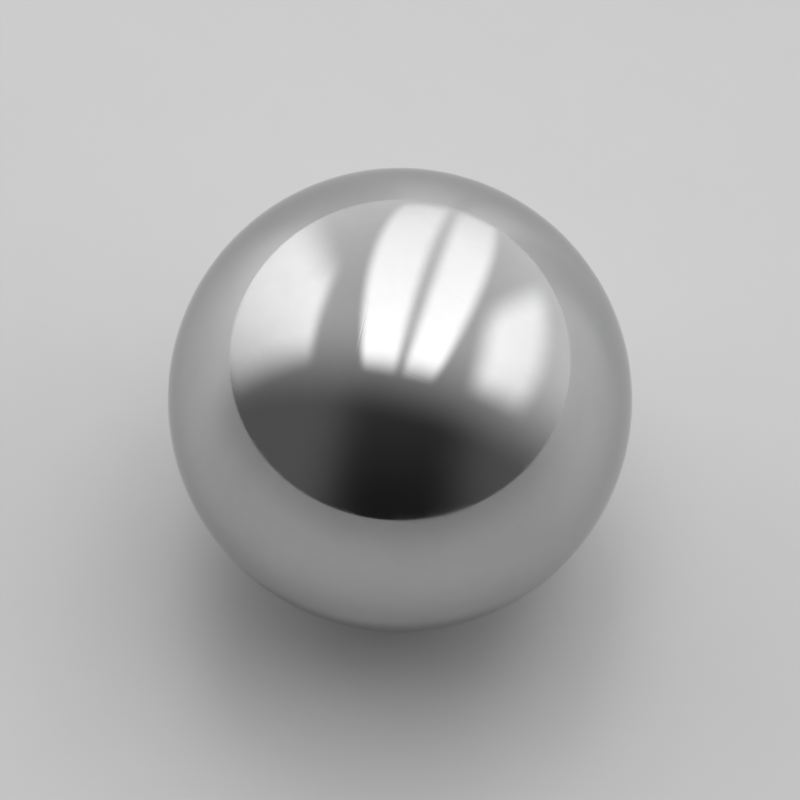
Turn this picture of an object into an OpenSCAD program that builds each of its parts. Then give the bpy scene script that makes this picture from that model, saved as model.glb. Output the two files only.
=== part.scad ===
// Steel ball
//
// One solid piece of hardened steel, ground and lapped to a true sphere and
// polished alike all over, with no flat, hole, seam or mark. The origin is the
// centre of the ball and +Z is up, so the ball touches what it lies on at
// z = -ball_d / 2. All sizes are in millimetres.

/* [Ball] */
// Diameter of the ball
ball_d = 8; // [1:0.5:50]

/* [Hidden] */
// Segments round the ball's girth
ball_fn = 180;
// Bare polished steel
steel_colour = [0.77, 0.78, 0.80];

// The ball, centred on the origin
module ball() {
    color(steel_colour)
        sphere(d = ball_d, $fn = ball_fn);
}

ball();
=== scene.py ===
"""A polished steel ball, built round its CAD part and set in a plain pale studio."""

import math

import bpy
import numpy as np
from bpy.props import FloatProperty, FloatVectorProperty, IntProperty, PointerProperty
from mathutils import Matrix, Vector


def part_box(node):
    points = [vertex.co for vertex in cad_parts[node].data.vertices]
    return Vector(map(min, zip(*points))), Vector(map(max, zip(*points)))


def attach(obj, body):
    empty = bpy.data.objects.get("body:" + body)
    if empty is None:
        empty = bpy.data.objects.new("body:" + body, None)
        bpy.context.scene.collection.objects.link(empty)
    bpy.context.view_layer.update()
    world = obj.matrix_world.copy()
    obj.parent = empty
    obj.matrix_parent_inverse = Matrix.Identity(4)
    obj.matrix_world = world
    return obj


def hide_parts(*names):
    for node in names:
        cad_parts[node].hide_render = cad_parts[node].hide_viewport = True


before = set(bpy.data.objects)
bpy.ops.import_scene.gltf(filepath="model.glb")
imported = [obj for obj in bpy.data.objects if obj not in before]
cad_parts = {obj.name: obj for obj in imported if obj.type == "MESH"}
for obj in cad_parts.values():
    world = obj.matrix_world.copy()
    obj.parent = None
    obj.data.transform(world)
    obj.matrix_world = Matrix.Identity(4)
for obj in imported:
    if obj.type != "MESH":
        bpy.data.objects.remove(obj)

bl_info = {
    "name": "Steel ball",
    "version": (1, 0, 0),
    "blender": (4, 5, 0),
    "location": "View3D > Sidebar > Steel ball",
    "description": "Builds a polished steel ball round its CAD part, in a plain pale studio",
    "category": "Add Mesh",
}

BALL_NODE = "ball"

BALL_LOW, BALL_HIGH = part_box(BALL_NODE)
BALL_RADIUS = (BALL_HIGH.z - BALL_LOW.z) / 2
MM_PER_M = 1000.0
M_PER_MICRON = 1e-6
# Corners that two faces of the ball share are matched to this many decimals of its radius
MERGE_DECIMALS = 9
# Share of the floor's reach that is flat, and the floor's mesh cells along each side
FLAT_SHARE = 0.25
FLOOR_CELLS = 96


# Shapes


def smooth_piece(name, points, quads):
    """A smooth mesh object from arrays of points and of quads."""
    mesh = bpy.data.meshes.new(name)
    mesh.vertices.add(len(points))
    mesh.vertices.foreach_set("co", points.astype(np.float32).ravel())
    mesh.loops.add(quads.size)
    mesh.loops.foreach_set("vertex_index", quads.astype(np.int32).ravel())
    mesh.polygons.add(len(quads))
    mesh.polygons.foreach_set("loop_start", np.arange(0, quads.size, 4, dtype=np.int32))
    mesh.polygons.foreach_set("use_smooth", np.ones(len(quads), bool))
    mesh.update(calc_edges=True)
    mesh.validate()
    piece = bpy.data.objects.new(name, mesh)
    bpy.context.scene.collection.objects.link(piece)
    return piece


def grid_quads(rows, columns):
    """Quads of a grid of points, rows by columns, turning from rows to columns."""
    index = np.arange(rows * columns).reshape(rows, columns)
    corners = (index[:-1, :-1], index[1:, :-1], index[1:, 1:], index[:-1, 1:])
    return np.stack(corners, axis=-1).reshape(-1, 4)


def ball_surface(radius, cells):
    """Points and quads of a sphere, worked out on the six faces of a cube.

    On one face, u and v run from -1 to 1, and a point is the radius times the
    unit vector along (1, tan(u pi / 4), tan(v pi / 4)), so equal steps of u and
    v are nearly equal angles. The other faces are that one turned, with u and v
    swapped on the three opposite ones, so that all face outwards. Points that
    two or three faces share are merged into one.
    """
    slope = np.tan(np.linspace(-math.pi / 4, math.pi / 4, cells + 1))
    u, v = np.meshgrid(slope, slope, indexing="ij")
    out = np.ones_like(u)
    front = np.stack((out, u, v), axis=-1).reshape(-1, 3)
    back = np.stack((-out, v, u), axis=-1).reshape(-1, 3)
    faces = [np.roll(side, turn, axis=1) for side in (front, back) for turn in range(3)]
    points = np.concatenate(faces)
    points /= np.linalg.norm(points, axis=1, keepdims=True)
    quads = grid_quads(cells + 1, cells + 1)
    starts = np.arange(len(faces))[:, None, None] * (cells + 1) ** 2
    quads = (quads[None] + starts).reshape(-1, 4)
    rounded = points.round(MERGE_DECIMALS)
    _, kept, merged = np.unique(rounded, axis=0, return_index=True, return_inverse=True)
    return radius * points[kept], merged.ravel()[quads]


def floor_surface(reach, level, rim, cells):
    """Points and quads of a floor that curves up very gently into a low rim.

    x and y run from -reach to reach. The height is the level in the middle,
    out to a share FLAT_SHARE of the reach, and from there it rises to the level
    plus the rim by s * s * (3 - 2 s), where s runs from 0 to 1 with distance.
    """
    step = np.linspace(-reach, reach, cells + 1)
    x, y = np.meshgrid(step, step, indexing="ij")
    s = np.clip((np.hypot(x, y) / reach - FLAT_SHARE) / (1 - FLAT_SHARE), 0, 1)
    z = level + rim * s * s * (3 - 2 * s)
    points = np.stack((x, y, z), axis=-1).reshape(-1, 3)
    return points, grid_quads(cells + 1, cells + 1)


# Node trees


def place(tree, kind, feeds=None, **choices):
    """Puts a node in a tree. feeds maps an input to an output that feeds it, or to a value."""
    node = tree.nodes.new(kind)
    for name, choice in choices.items():
        setattr(node, name, choice)
    for key, feed in (feeds or {}).items():
        if isinstance(feed, bpy.types.NodeSocket):
            tree.links.new(feed, node.inputs[key])
        else:
            node.inputs[key].default_value = feed
    return node


def reckon(tree, operation, *terms):
    """The result of a Math node with these terms."""
    return place(tree, "ShaderNodeMath", dict(enumerate(terms)), operation=operation).outputs[0]


def dot(tree, first, second):
    """The dot product of two vectors."""
    feeds = {0: first, 1: second}
    return place(tree, "ShaderNodeVectorMath", feeds, operation="DOT_PRODUCT").outputs["Value"]


def stretch(tree, share, low, high):
    """low where share is 0 and high where it is 1."""
    return reckon(tree, "MULTIPLY_ADD", share, high - low, low)


def ease(tree, value, low, high, to_low=0.0, to_high=1.0):
    """value, carried smoothly from to_low where it is low to to_high where it is high."""
    feeds = {"Value": value, "From Min": low, "From Max": high, "To Min": to_low, "To Max": to_high}
    node = place(tree, "ShaderNodeMapRange", feeds, interpolation_type="SMOOTHSTEP")
    return node.outputs["Result"]


# The sockets of a Mix node share their names, so they are told apart by number


def mix_values(tree, share, first, second):
    """The value first where share is 0 and second where it is 1."""
    return place(tree, "ShaderNodeMix", {0: share, 2: first, 3: second}, data_type="FLOAT").outputs[0]


def mix_colours(tree, share, first, second):
    """The colour first where share is 0 and second where it is 1."""
    feeds = {0: share, 6: (*first, 1.0), 7: (*second, 1.0)}
    return place(tree, "ShaderNodeMix", feeds, data_type="RGBA").outputs[2]


def open_tree(data):
    """The node tree of a material, lamp or world, emptied."""
    data.use_nodes = True
    data.node_tree.nodes.clear()
    return data.node_tree


def open_group(name, inputs, output):
    """A new shader node group, with its inputs' outlets and its one output's inlet."""
    group = bpy.data.node_groups.new(name, "ShaderNodeTree")
    for socket, kind, value in inputs:
        group.interface.new_socket(socket, in_out="INPUT", socket_type=kind).default_value = value
    group.interface.new_socket(output, in_out="OUTPUT", socket_type="NodeSocketFloat")
    return group, place(group, "NodeGroupInput").outputs, place(group, "NodeGroupOutput").inputs[0]


# Finishes


# Lapping marks, with lengths in millimetres. A mark's place is a share of the spacing, its half
# width a share of the width and its depth a share of the deepest, each drawn between two limits.
MARK_PLACES = (0.25, 0.75)
MARK_HALF_WIDTHS = (0.25, 0.75)
MARK_DEPTHS = (-0.3, -1.0)
MARK_BOW = 0.35
MARK_BOW_SCALE = 0.35
# A mark shows where the noise along it passes a limit, which falls as its family's share grows
ARC_SCALE = 0.55
ARC_LIMITS = (0.72, 0.37)
ARC_FADE = 0.06
# Near the axis of their planes marks would be small rings, so they fade out between these radii
RING_FADE = (1.2, 2.2)
# Spreads the random draws of families that are turned differently, and of rows in one family
FAMILY_SEED = (17.3, 31.7, 53.1)
ROW_SEED = 7.13
# Each family's turn, in radians, and its spacing, width and share
MARK_FAMILIES = (
    ((0.3, 1.1, 0.0), 0.71, 0.024, 0.40),
    ((1.2, 0.4, 0.7), 0.59, 0.022, 0.40),
    ((2.0, 0.9, 1.6), 0.43, 0.018, 0.45),
    ((0.8, 2.1, 2.3), 0.37, 0.018, 0.45),
    ((1.6, 1.5, 0.2), 0.31, 0.018, 0.45),
    ((2.6, 0.2, 1.1), 0.17, 0.013, 0.55),
    ((0.5, 2.8, 1.9), 0.15, 0.012, 0.55),
    ((1.9, 1.9, 2.9), 0.19, 0.014, 0.55),
)


def lapping_marks_group():
    """Fine arcs that lapping leaves, as a Height from 0, the surface, down to -1.

    Turn swings the ball, and planes Spacing apart then cut it, each with one
    mark on it, Width across. Broad noise bows the marks a little, and noise
    along them breaks them into arcs, more of them as Share grows.
    """
    group, given, height = open_group(
        "Lapping marks",
        [
            ("Position", "NodeSocketVector", (0.0, 0.0, 0.0)),
            ("Turn", "NodeSocketVector", (0.0, 0.0, 0.0)),
            ("Spacing", "NodeSocketFloat", 0.3),
            ("Width", "NodeSocketFloat", 0.012),
            ("Share", "NodeSocketFloat", 0.4),
        ],
        "Height",
    )
    turned = place(
        group,
        "ShaderNodeVectorRotate",
        {"Vector": given["Position"], "Rotation": given["Turn"]},
        rotation_type="EULER_XYZ",
    ).outputs["Vector"]
    x, y, z = place(group, "ShaderNodeSeparateXYZ", {"Vector": turned}).outputs
    waves = {"Vector": turned, "Scale": MARK_BOW_SCALE, "Detail": 1.0}
    bow = place(group, "ShaderNodeTexNoise", waves).outputs["Fac"]
    level = reckon(group, "DIVIDE", reckon(group, "MULTIPLY_ADD", bow, MARK_BOW, z), given["Spacing"])
    row = reckon(group, "FLOOR", level)
    seed = reckon(group, "ADD", row, dot(group, given["Turn"], FAMILY_SEED))
    draw = place(group, "ShaderNodeTexWhiteNoise", {"W": seed}, noise_dimensions="1D").outputs["Color"]
    for_place, for_width, for_depth = place(group, "ShaderNodeSeparateColor", {"Color": draw}).outputs
    middle = stretch(group, for_place, *MARK_PLACES)
    off = reckon(group, "SUBTRACT", reckon(group, "SUBTRACT", level, row), middle)
    off = reckon(group, "MULTIPLY", reckon(group, "ABSOLUTE", off), given["Spacing"])
    half = reckon(group, "MULTIPLY", given["Width"], stretch(group, for_width, *MARK_HALF_WIDTHS))
    groove = ease(group, off, 0.0, half, 1.0, 0.0)
    along = {"X": x, "Y": y, "Z": reckon(group, "MULTIPLY", seed, ROW_SEED)}
    along = place(group, "ShaderNodeCombineXYZ", along).outputs["Vector"]
    breaks = {"Vector": along, "Scale": ARC_SCALE, "Detail": 1.0}
    breaks = place(group, "ShaderNodeTexNoise", breaks).outputs["Fac"]
    limit = stretch(group, given["Share"], *ARC_LIMITS)
    arc = ease(group, breaks, limit, reckon(group, "ADD", limit, ARC_FADE))
    radius = reckon(group, "MULTIPLY_ADD", x, x, reckon(group, "MULTIPLY", y, y))
    ring = ease(group, reckon(group, "SQRT", radius), *RING_FADE)
    shown = reckon(group, "MULTIPLY", reckon(group, "MULTIPLY", groove, arc), ring)
    group.links.new(reckon(group, "MULTIPLY", shown, stretch(group, for_depth, *MARK_DEPTHS)), height)
    return group


# Polish haze: the noise at which it starts and at which it is full, and the size in millimetres
# and the share of each of its layers
HAZE_LIMITS = (0.38, 0.68)
HAZE_LAYERS = ((2.4, 0.6), (0.5, 0.4))


def polish_haze_group():
    """Soft clouds left by polishing, as a Mask from 0, clear, to 1, hazed.

    Noise of the place, Size across and itself bent by a broader noise, is
    spread so that about half the surface is clear.
    """
    group, given, mask = open_group(
        "Polish haze",
        [
            ("Position", "NodeSocketVector", (0.0, 0.0, 0.0)),
            ("Size", "NodeSocketFloat", 2.0),
        ],
        "Mask",
    )
    clouds = {
        "Vector": given["Position"],
        "Scale": reckon(group, "DIVIDE", 1.0, given["Size"]),
        "Detail": 5.0,
        "Roughness": 0.6,
        "Distortion": 0.6,
    }
    clouds = place(group, "ShaderNodeTexNoise", clouds).outputs["Fac"]
    group.links.new(ease(group, clouds, *HAZE_LIMITS), mask)
    return group


# Waves in the polish, per millimetre
WAVE_SCALE = 1.1
# Steel reflects less at a slant than the shader's own curve: its share of that at 82 degrees
STEEL_EDGE_TINT = (0.79, 0.79, 0.79, 1.0)


def steel_material(ball):
    """Hardened steel polished to a mirror: neutral silvery metal with faint marks and haze."""
    material = bpy.data.materials.new("Polished steel")
    tree = open_tree(material)
    coordinates = place(tree, "ShaderNodeTexCoord").outputs["Object"]
    in_mm = {0: coordinates, "Scale": MM_PER_M}
    position = place(tree, "ShaderNodeVectorMath", in_mm, operation="SCALE").outputs["Vector"]
    marks_group = lapping_marks_group()
    marks = 0.0
    for turn, spacing, width, share in MARK_FAMILIES:
        feeds = {"Position": position, "Turn": turn, "Spacing": spacing, "Width": width, "Share": share}
        family = place(tree, "ShaderNodeGroup", feeds, node_tree=marks_group).outputs["Height"]
        marks = reckon(tree, "ADD", family, marks)
    haze_group = polish_haze_group()
    haze = 0.0
    for size, share in HAZE_LAYERS:
        feeds = {"Position": position, "Size": size}
        layer = place(tree, "ShaderNodeGroup", feeds, node_tree=haze_group).outputs["Mask"]
        haze = reckon(tree, "MULTIPLY_ADD", layer, share, haze)
    waves = place(tree, "ShaderNodeTexNoise", {"Vector": position, "Scale": WAVE_SCALE, "Detail": 1.0})
    waved = place(
        tree,
        "ShaderNodeBump",
        {"Distance": ball.wave_depth * M_PER_MICRON, "Height": waves.outputs["Fac"]},
    )
    marked = place(
        tree,
        "ShaderNodeBump",
        {
            "Distance": ball.mark_depth * M_PER_MICRON,
            "Height": marks,
            "Normal": waved.outputs["Normal"],
        },
    )
    steel = place(
        tree,
        "ShaderNodeBsdfPrincipled",
        {
            "Base Color": mix_colours(tree, haze, ball.steel_colour, ball.haze_colour),
            "Metallic": 1.0,
            "Roughness": ease(tree, haze, 0.0, 1.0, ball.polish_roughness, ball.haze_roughness),
            "Specular Tint": STEEL_EDGE_TINT,
            "Normal": marked.outputs["Normal"],
        },
    )
    place(tree, "ShaderNodeOutputMaterial", {"Surface": steel.outputs["BSDF"]})
    return material


# Mottle of the floor's board: noise per metre, and how far it lightens and darkens the colour
MOTTLE_SCALE = 900.0
MOTTLE_SHARE = 0.015


def floor_material(studio):
    """Pale satin board: one colour with a trace of mottle."""
    material = bpy.data.materials.new("Pale board")
    tree = open_tree(material)
    coordinates = place(tree, "ShaderNodeTexCoord").outputs["Object"]
    grain = {"Vector": coordinates, "Scale": MOTTLE_SCALE, "Detail": 3.0}
    mottle = place(tree, "ShaderNodeTexNoise", grain)
    darker = [(1 - MOTTLE_SHARE) * part for part in studio.floor_colour]
    lighter = [(1 + MOTTLE_SHARE) * part for part in studio.floor_colour]
    board = place(
        tree,
        "ShaderNodeBsdfPrincipled",
        {
            "Base Color": mix_colours(tree, mottle.outputs["Fac"], darker, lighter),
            "Roughness": studio.floor_roughness,
        },
    )
    place(tree, "ShaderNodeOutputMaterial", {"Surface": board.outputs["BSDF"]})
    return material


# Studio


# The dark opening's outline, and its core, where it is darkest
OPENING = {
    "lean": -0.31,
    "edges": (-0.52, 0.39),
    "core_across": 0.187,
    "core_rise": 0.02,
    "core_width": 0.55,
    "core_height": 1.5,
    "core_power": 4.1,
    "core_depth": 0.88,
}
# How much darker the walls are straight overhead than at the horizon
WALL_FALL = 0.355


def studio_world(studio):
    """Pale walls with one dark opening towards the front.

    A direction is split into rise, its upward part, ahead, its part towards the
    opening, and across, its part to the side. The opening's share grows smoothly
    with ahead + lean * rise between its two edges, and it is darkest round its
    core, by exp(-(across / width) ^ power - (rise / height) ^ 2) from the core's
    centre. The walls darken a little with rise.
    """
    world = bpy.data.worlds.new("Pale studio")
    tree = open_tree(world)
    yaw = studio.opening_turn
    direction = place(tree, "ShaderNodeTexCoord").outputs["Generated"]
    rise = place(tree, "ShaderNodeSeparateXYZ", {"Vector": direction}).outputs["Z"]
    ahead = dot(tree, direction, (math.sin(yaw), -math.cos(yaw), 0.0))
    across = dot(tree, direction, (math.cos(yaw), math.sin(yaw), 0.0))
    opening = ease(tree, reckon(tree, "MULTIPLY_ADD", rise, OPENING["lean"], ahead), *OPENING["edges"])
    aside = reckon(tree, "SUBTRACT", across, OPENING["core_across"])
    aside = reckon(tree, "ABSOLUTE", reckon(tree, "DIVIDE", aside, OPENING["core_width"]))
    above = reckon(tree, "SUBTRACT", rise, OPENING["core_rise"])
    above = reckon(tree, "DIVIDE", above, OPENING["core_height"])
    aside = reckon(tree, "POWER", aside, OPENING["core_power"])
    spread = reckon(tree, "MULTIPLY_ADD", above, above, aside)
    core = reckon(tree, "EXPONENT", reckon(tree, "MULTIPLY", spread, -1.0))
    dark = stretch(tree, core, studio.opening_tone, (1 - OPENING["core_depth"]) * studio.opening_tone)
    wall = stretch(tree, rise, studio.wall_tone, studio.wall_tone - WALL_FALL)
    tone = mix_values(tree, opening, wall, dark)
    background = place(tree, "ShaderNodeBackground", {"Color": tone, "Strength": 1.0})
    place(tree, "ShaderNodeOutputWorld", {"Surface": background.outputs["Background"]})
    bpy.context.scene.world = world


def soft_lamp(panel, strength, distance):
    """A soft four-sided lamp that faces the ball, with its outline drawn by nodes.

    Across the panel u, and along it w, are measured in shares of the distance.
    The lamp shines where u - skew w is within half the width times 1 + taper w,
    and w within half the length, and fades smoothly across its two edges. Its
    tone grows by fall for each unit of w. Its middle stands off the line from
    the ball by shift along u and rise along w, and set_back, a share of the
    distance, keeps lamps that overlap out of one plane.
    """
    distance = distance * (1 + panel["set_back"])
    angles = ("azimuth", "elevation", "roll")
    azimuth, elevation, roll = (math.radians(panel[angle]) for angle in angles)
    ahead = Vector((math.sin(azimuth), -math.cos(azimuth), 0.0))
    out = ahead * math.cos(elevation) + Vector((0.0, 0.0, math.sin(elevation)))
    level = Vector((math.cos(azimuth), math.sin(azimuth), 0.0))
    upward = out.cross(level)
    along_u = level * math.cos(roll) + upward * math.sin(roll)
    along_w = upward * math.cos(roll) - level * math.sin(roll)
    half_width, half_length = panel["width"] / 2, panel["length"] / 2
    edge_u, edge_w = panel["edges"]
    skew, taper = panel["skew"], panel["taper"]
    reach_w = half_length + edge_w / 2
    reach_u = half_width * (1 + abs(taper) * reach_w) + abs(skew) * reach_w + edge_u / 2
    lamp = bpy.data.lights.new(panel["name"], "AREA")
    lamp.shape = "RECTANGLE"
    lamp.size = 2 * reach_u * distance
    lamp.size_y = 2 * reach_w * distance
    # A flat lamp looks as bright as its power, shared out over pi times its area
    lamp.energy = strength * panel["tone"] * math.pi * lamp.size * lamp.size_y
    tree = open_tree(lamp)
    where = place(tree, "ShaderNodeNewGeometry").outputs["Parametric"]
    share = place(tree, "ShaderNodeSeparateXYZ", {"Vector": where}).outputs
    u = stretch(tree, share["X"], -reach_u, reach_u)
    w = stretch(tree, share["Y"], -reach_w, reach_w)
    side = reckon(tree, "ABSOLUTE", reckon(tree, "MULTIPLY_ADD", w, -skew, u))
    limit = reckon(tree, "MULTIPLY_ADD", w, half_width * taper, half_width)
    inside_u = ease(tree, reckon(tree, "SUBTRACT", limit, side), -edge_u / 2, edge_u / 2)
    end = reckon(tree, "SUBTRACT", half_length, reckon(tree, "ABSOLUTE", w))
    inside_w = ease(tree, end, -edge_w / 2, edge_w / 2)
    tone = reckon(tree, "MAXIMUM", reckon(tree, "MULTIPLY_ADD", w, panel["fall"], 1.0), 0.0)
    shine = reckon(tree, "MULTIPLY", reckon(tree, "MULTIPLY", inside_u, inside_w), tone)
    glow = place(tree, "ShaderNodeEmission", {"Strength": shine})
    place(tree, "ShaderNodeOutputLight", {"Surface": glow.outputs["Emission"]})
    holder = bpy.data.objects.new(panel["name"], lamp)
    turn = Matrix((along_u, along_w, out)).transposed().to_4x4()
    middle = (out + along_u * panel["shift"] + along_w * panel["rise"]) * distance
    holder.matrix_world = Matrix.Translation(middle) @ turn
    bpy.context.scene.collection.objects.link(holder)


# The lamps, in the terms of soft_lamp. Azimuth turns from the front, -Y, towards +X, angles are
# in degrees, and a tone of 1 is white.
PLAIN_LAMP = {"shift": 0.0, "rise": 0.0, "set_back": 0.0, "skew": 0.0, "taper": 0.0, "fall": 0.0}
OVERHEAD = {
    **PLAIN_LAMP,
    "azimuth": 153.5,
    "elevation": 60.5,
    "roll": 20.0,
    "rise": -0.42,
    "length": 2.5,
    "tone": 0.97,
    "edges": (0.14, 0.45),
    "skew": 0.14,
    "fall": 0.5,
}
LAMPS = (
    {
        **PLAIN_LAMP,
        "name": "Left lamp",
        "azimuth": -124.5,
        "elevation": 20.0,
        "roll": 15.0,
        "width": 1.08,
        "length": 0.96,
        "tone": 0.7,
        "edges": (0.47, 0.18),
        "skew": 0.49,
        "taper": -0.69,
        "fall": 1.0,
    },
    {**OVERHEAD, "name": "Overhead lamp right", "width": 0.43, "shift": 0.25},
    {**OVERHEAD, "name": "Overhead lamp left", "width": 0.37, "shift": -0.235, "set_back": 0.02},
    {
        **PLAIN_LAMP,
        "name": "Right lamp",
        "azimuth": 98.5,
        "elevation": 33.0,
        "roll": -15.0,
        "width": 0.86,
        "length": 0.53,
        "tone": 0.9,
        "edges": (0.4, 0.3),
        "skew": -0.58,
        "taper": -0.83,
        "fall": 0.84,
    },
)


# What lies nearer to the camera than this, in metres, is not seen; the ball is well beyond it
CLIP_START = 0.01


def aim_camera(studio, centre):
    """The camera, set back from the ball's centre at its elevation, looking at it."""
    data = bpy.data.cameras.new("Camera")
    data.lens = studio.lens
    data.clip_start = CLIP_START
    camera = bpy.data.objects.new("Camera", data)
    elevation = studio.camera_elevation
    back = Vector((0.0, -math.cos(elevation), math.sin(elevation)))
    camera.location = centre + back * studio.camera_distance
    camera.rotation_mode = "QUATERNION"
    camera.rotation_quaternion = (-back).to_track_quat("-Z", "Y")
    bpy.context.scene.collection.objects.link(camera)
    bpy.context.scene.camera = camera


# Add-on


class BallSettings(bpy.types.PropertyGroup):
    """Sizes and finish of the steel ball."""

    radius: FloatProperty(
        name="Radius",
        description="Half the ball's diameter",
        default=BALL_RADIUS,
        min=0.0005,
        unit="LENGTH",
    )
    cells: IntProperty(
        name="Cells",
        description="Mesh cells along each of the six faces' edges",
        default=96,
        min=8,
        max=128,
    )
    steel_colour: FloatVectorProperty(
        name="Steel colour",
        description="Colour of the clear polished steel",
        default=(0.535, 0.535, 0.54),
        min=0.0,
        max=1.0,
        subtype="COLOR",
    )
    haze_colour: FloatVectorProperty(
        name="Haze colour",
        description="Colour of the steel where polishing has left a haze",
        default=(0.51, 0.51, 0.513),
        min=0.0,
        max=1.0,
        subtype="COLOR",
    )
    polish_roughness: FloatProperty(
        name="Polish roughness",
        description="Roughness of the clear polished steel",
        default=0.045,
        min=0.0,
        max=1.0,
        subtype="FACTOR",
    )
    haze_roughness: FloatProperty(
        name="Haze roughness",
        description="Roughness of the steel under the polishing haze",
        default=0.1,
        min=0.0,
        max=1.0,
        subtype="FACTOR",
    )
    mark_depth: FloatProperty(
        name="Mark depth",
        description="Depth of the deepest lapping marks, in thousandths of a millimetre",
        default=0.12,
        min=0.0,
        max=5.0,
    )
    wave_depth: FloatProperty(
        name="Wave depth",
        description="Height of the faint waves in the polish, in thousandths of a millimetre",
        default=0.4,
        min=0.0,
        max=5.0,
    )


class StudioSettings(bpy.types.PropertyGroup):
    """Floor, light and camera round the ball."""

    floor_reach: FloatProperty(
        name="Floor reach",
        description="Distance from the ball to the floor's edge",
        default=0.5,
        min=0.1,
        unit="LENGTH",
    )
    floor_rim: FloatProperty(
        name="Floor rim",
        description="Height to which the floor curves up at its edge, which hides the edge",
        default=0.008,
        min=0.0,
        unit="LENGTH",
    )
    floor_colour: FloatVectorProperty(
        name="Floor colour",
        description="Colour of the pale satin floor",
        default=(0.64, 0.64, 0.64),
        min=0.0,
        max=1.0,
        subtype="COLOR",
    )
    floor_roughness: FloatProperty(
        name="Floor roughness",
        description="Roughness of the floor's satin gloss",
        default=0.29,
        min=0.0,
        max=1.0,
        subtype="FACTOR",
    )
    wall_tone: FloatProperty(
        name="Wall tone",
        description="Brightness of the pale walls round the floor, where 1 is white",
        default=0.95,
        min=0.0,
        max=1.0,
        subtype="FACTOR",
    )
    opening_tone: FloatProperty(
        name="Opening tone",
        description="Brightness at the sides of the dark opening, where 1 is white",
        default=0.135,
        min=0.0,
        max=1.0,
        subtype="FACTOR",
    )
    opening_turn: FloatProperty(
        name="Opening turn",
        description="Turn of the dark opening about the upright, from the front",
        default=math.radians(-14.3),
        subtype="ANGLE",
    )
    lamp_distance: FloatProperty(
        name="Lamp distance",
        description="Distance from the ball to each lamp; their sizes grow with it",
        default=3.0,
        min=0.2,
        unit="LENGTH",
    )
    lamp_share: FloatProperty(
        name="Lamp brightness",
        description="Share of their full brightness that the lamps give",
        default=1.0,
        min=0.0,
        max=2.0,
        subtype="FACTOR",
    )
    camera_elevation: FloatProperty(
        name="Camera elevation",
        description="Angle of the camera above the floor",
        default=math.radians(62.0),
        subtype="ANGLE",
    )
    camera_distance: FloatProperty(
        name="Camera distance",
        description="Distance from the camera to the ball's centre",
        default=0.16,
        min=0.02,
        unit="LENGTH",
    )
    lens: FloatProperty(
        name="Lens",
        description="Focal length of the camera",
        default=418.0,
        min=10.0,
        max=2000.0,
        unit="CAMERA",
    )


class STEELBALL_OT_make_ball(bpy.types.Operator):
    """Build the polished steel ball round its CAD part"""

    bl_idname = "steelball.make_ball"
    bl_label = "Make the ball"
    bl_options = {"REGISTER", "UNDO"}

    def execute(self, context):
        ball = context.scene.steel_ball
        piece = smooth_piece("polished_ball", *ball_surface(ball.radius, ball.cells))
        piece.data.materials.append(steel_material(ball))
        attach(piece, "root")
        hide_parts(BALL_NODE)
        return {"FINISHED"}


class STEELBALL_OT_make_studio(bpy.types.Operator):
    """Build the floor, lamps, walls and camera round the ball"""

    bl_idname = "steelball.make_studio"
    bl_label = "Make the studio"
    bl_options = {"REGISTER", "UNDO"}

    def execute(self, context):
        studio = context.scene.steel_ball_studio
        shape = floor_surface(studio.floor_reach, BALL_LOW.z, studio.floor_rim, FLOOR_CELLS)
        floor = smooth_piece("studio_floor", *shape)
        floor.data.materials.append(floor_material(studio))
        studio_world(studio)
        for panel in LAMPS:
            soft_lamp(panel, studio.lamp_share, studio.lamp_distance)
        aim_camera(studio, (BALL_LOW + BALL_HIGH) / 2)
        context.scene.view_settings.view_transform = "Standard"
        return {"FINISHED"}


class STEELBALL_PT_panel(bpy.types.Panel):
    """Settings and makers of the steel ball and its studio"""

    bl_idname = "STEELBALL_PT_panel"
    bl_label = "Steel ball"
    bl_space_type = "VIEW_3D"
    bl_region_type = "UI"
    bl_category = "Steel ball"

    def draw(self, context):
        for settings, maker in (
            (context.scene.steel_ball, STEELBALL_OT_make_ball),
            (context.scene.steel_ball_studio, STEELBALL_OT_make_studio),
        ):
            box = self.layout.box()
            for name in settings.__annotations__:
                box.prop(settings, name)
            box.operator(maker.bl_idname)


CLASSES = (
    BallSettings,
    StudioSettings,
    STEELBALL_OT_make_ball,
    STEELBALL_OT_make_studio,
    STEELBALL_PT_panel,
)


def register():
    """Registers the classes and hangs the settings on the scene."""
    for each in CLASSES:
        bpy.utils.register_class(each)
    bpy.types.Scene.steel_ball = PointerProperty(type=BallSettings)
    bpy.types.Scene.steel_ball_studio = PointerProperty(type=StudioSettings)


def unregister():
    """Takes the settings and the classes away again."""
    del bpy.types.Scene.steel_ball_studio
    del bpy.types.Scene.steel_ball
    for each in reversed(CLASSES):
        bpy.utils.unregister_class(each)


def main():
    """Builds everything."""
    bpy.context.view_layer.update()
    register()
    bpy.ops.steelball.make_ball()
    bpy.ops.steelball.make_studio()


if __name__ == "__main__":
    main()
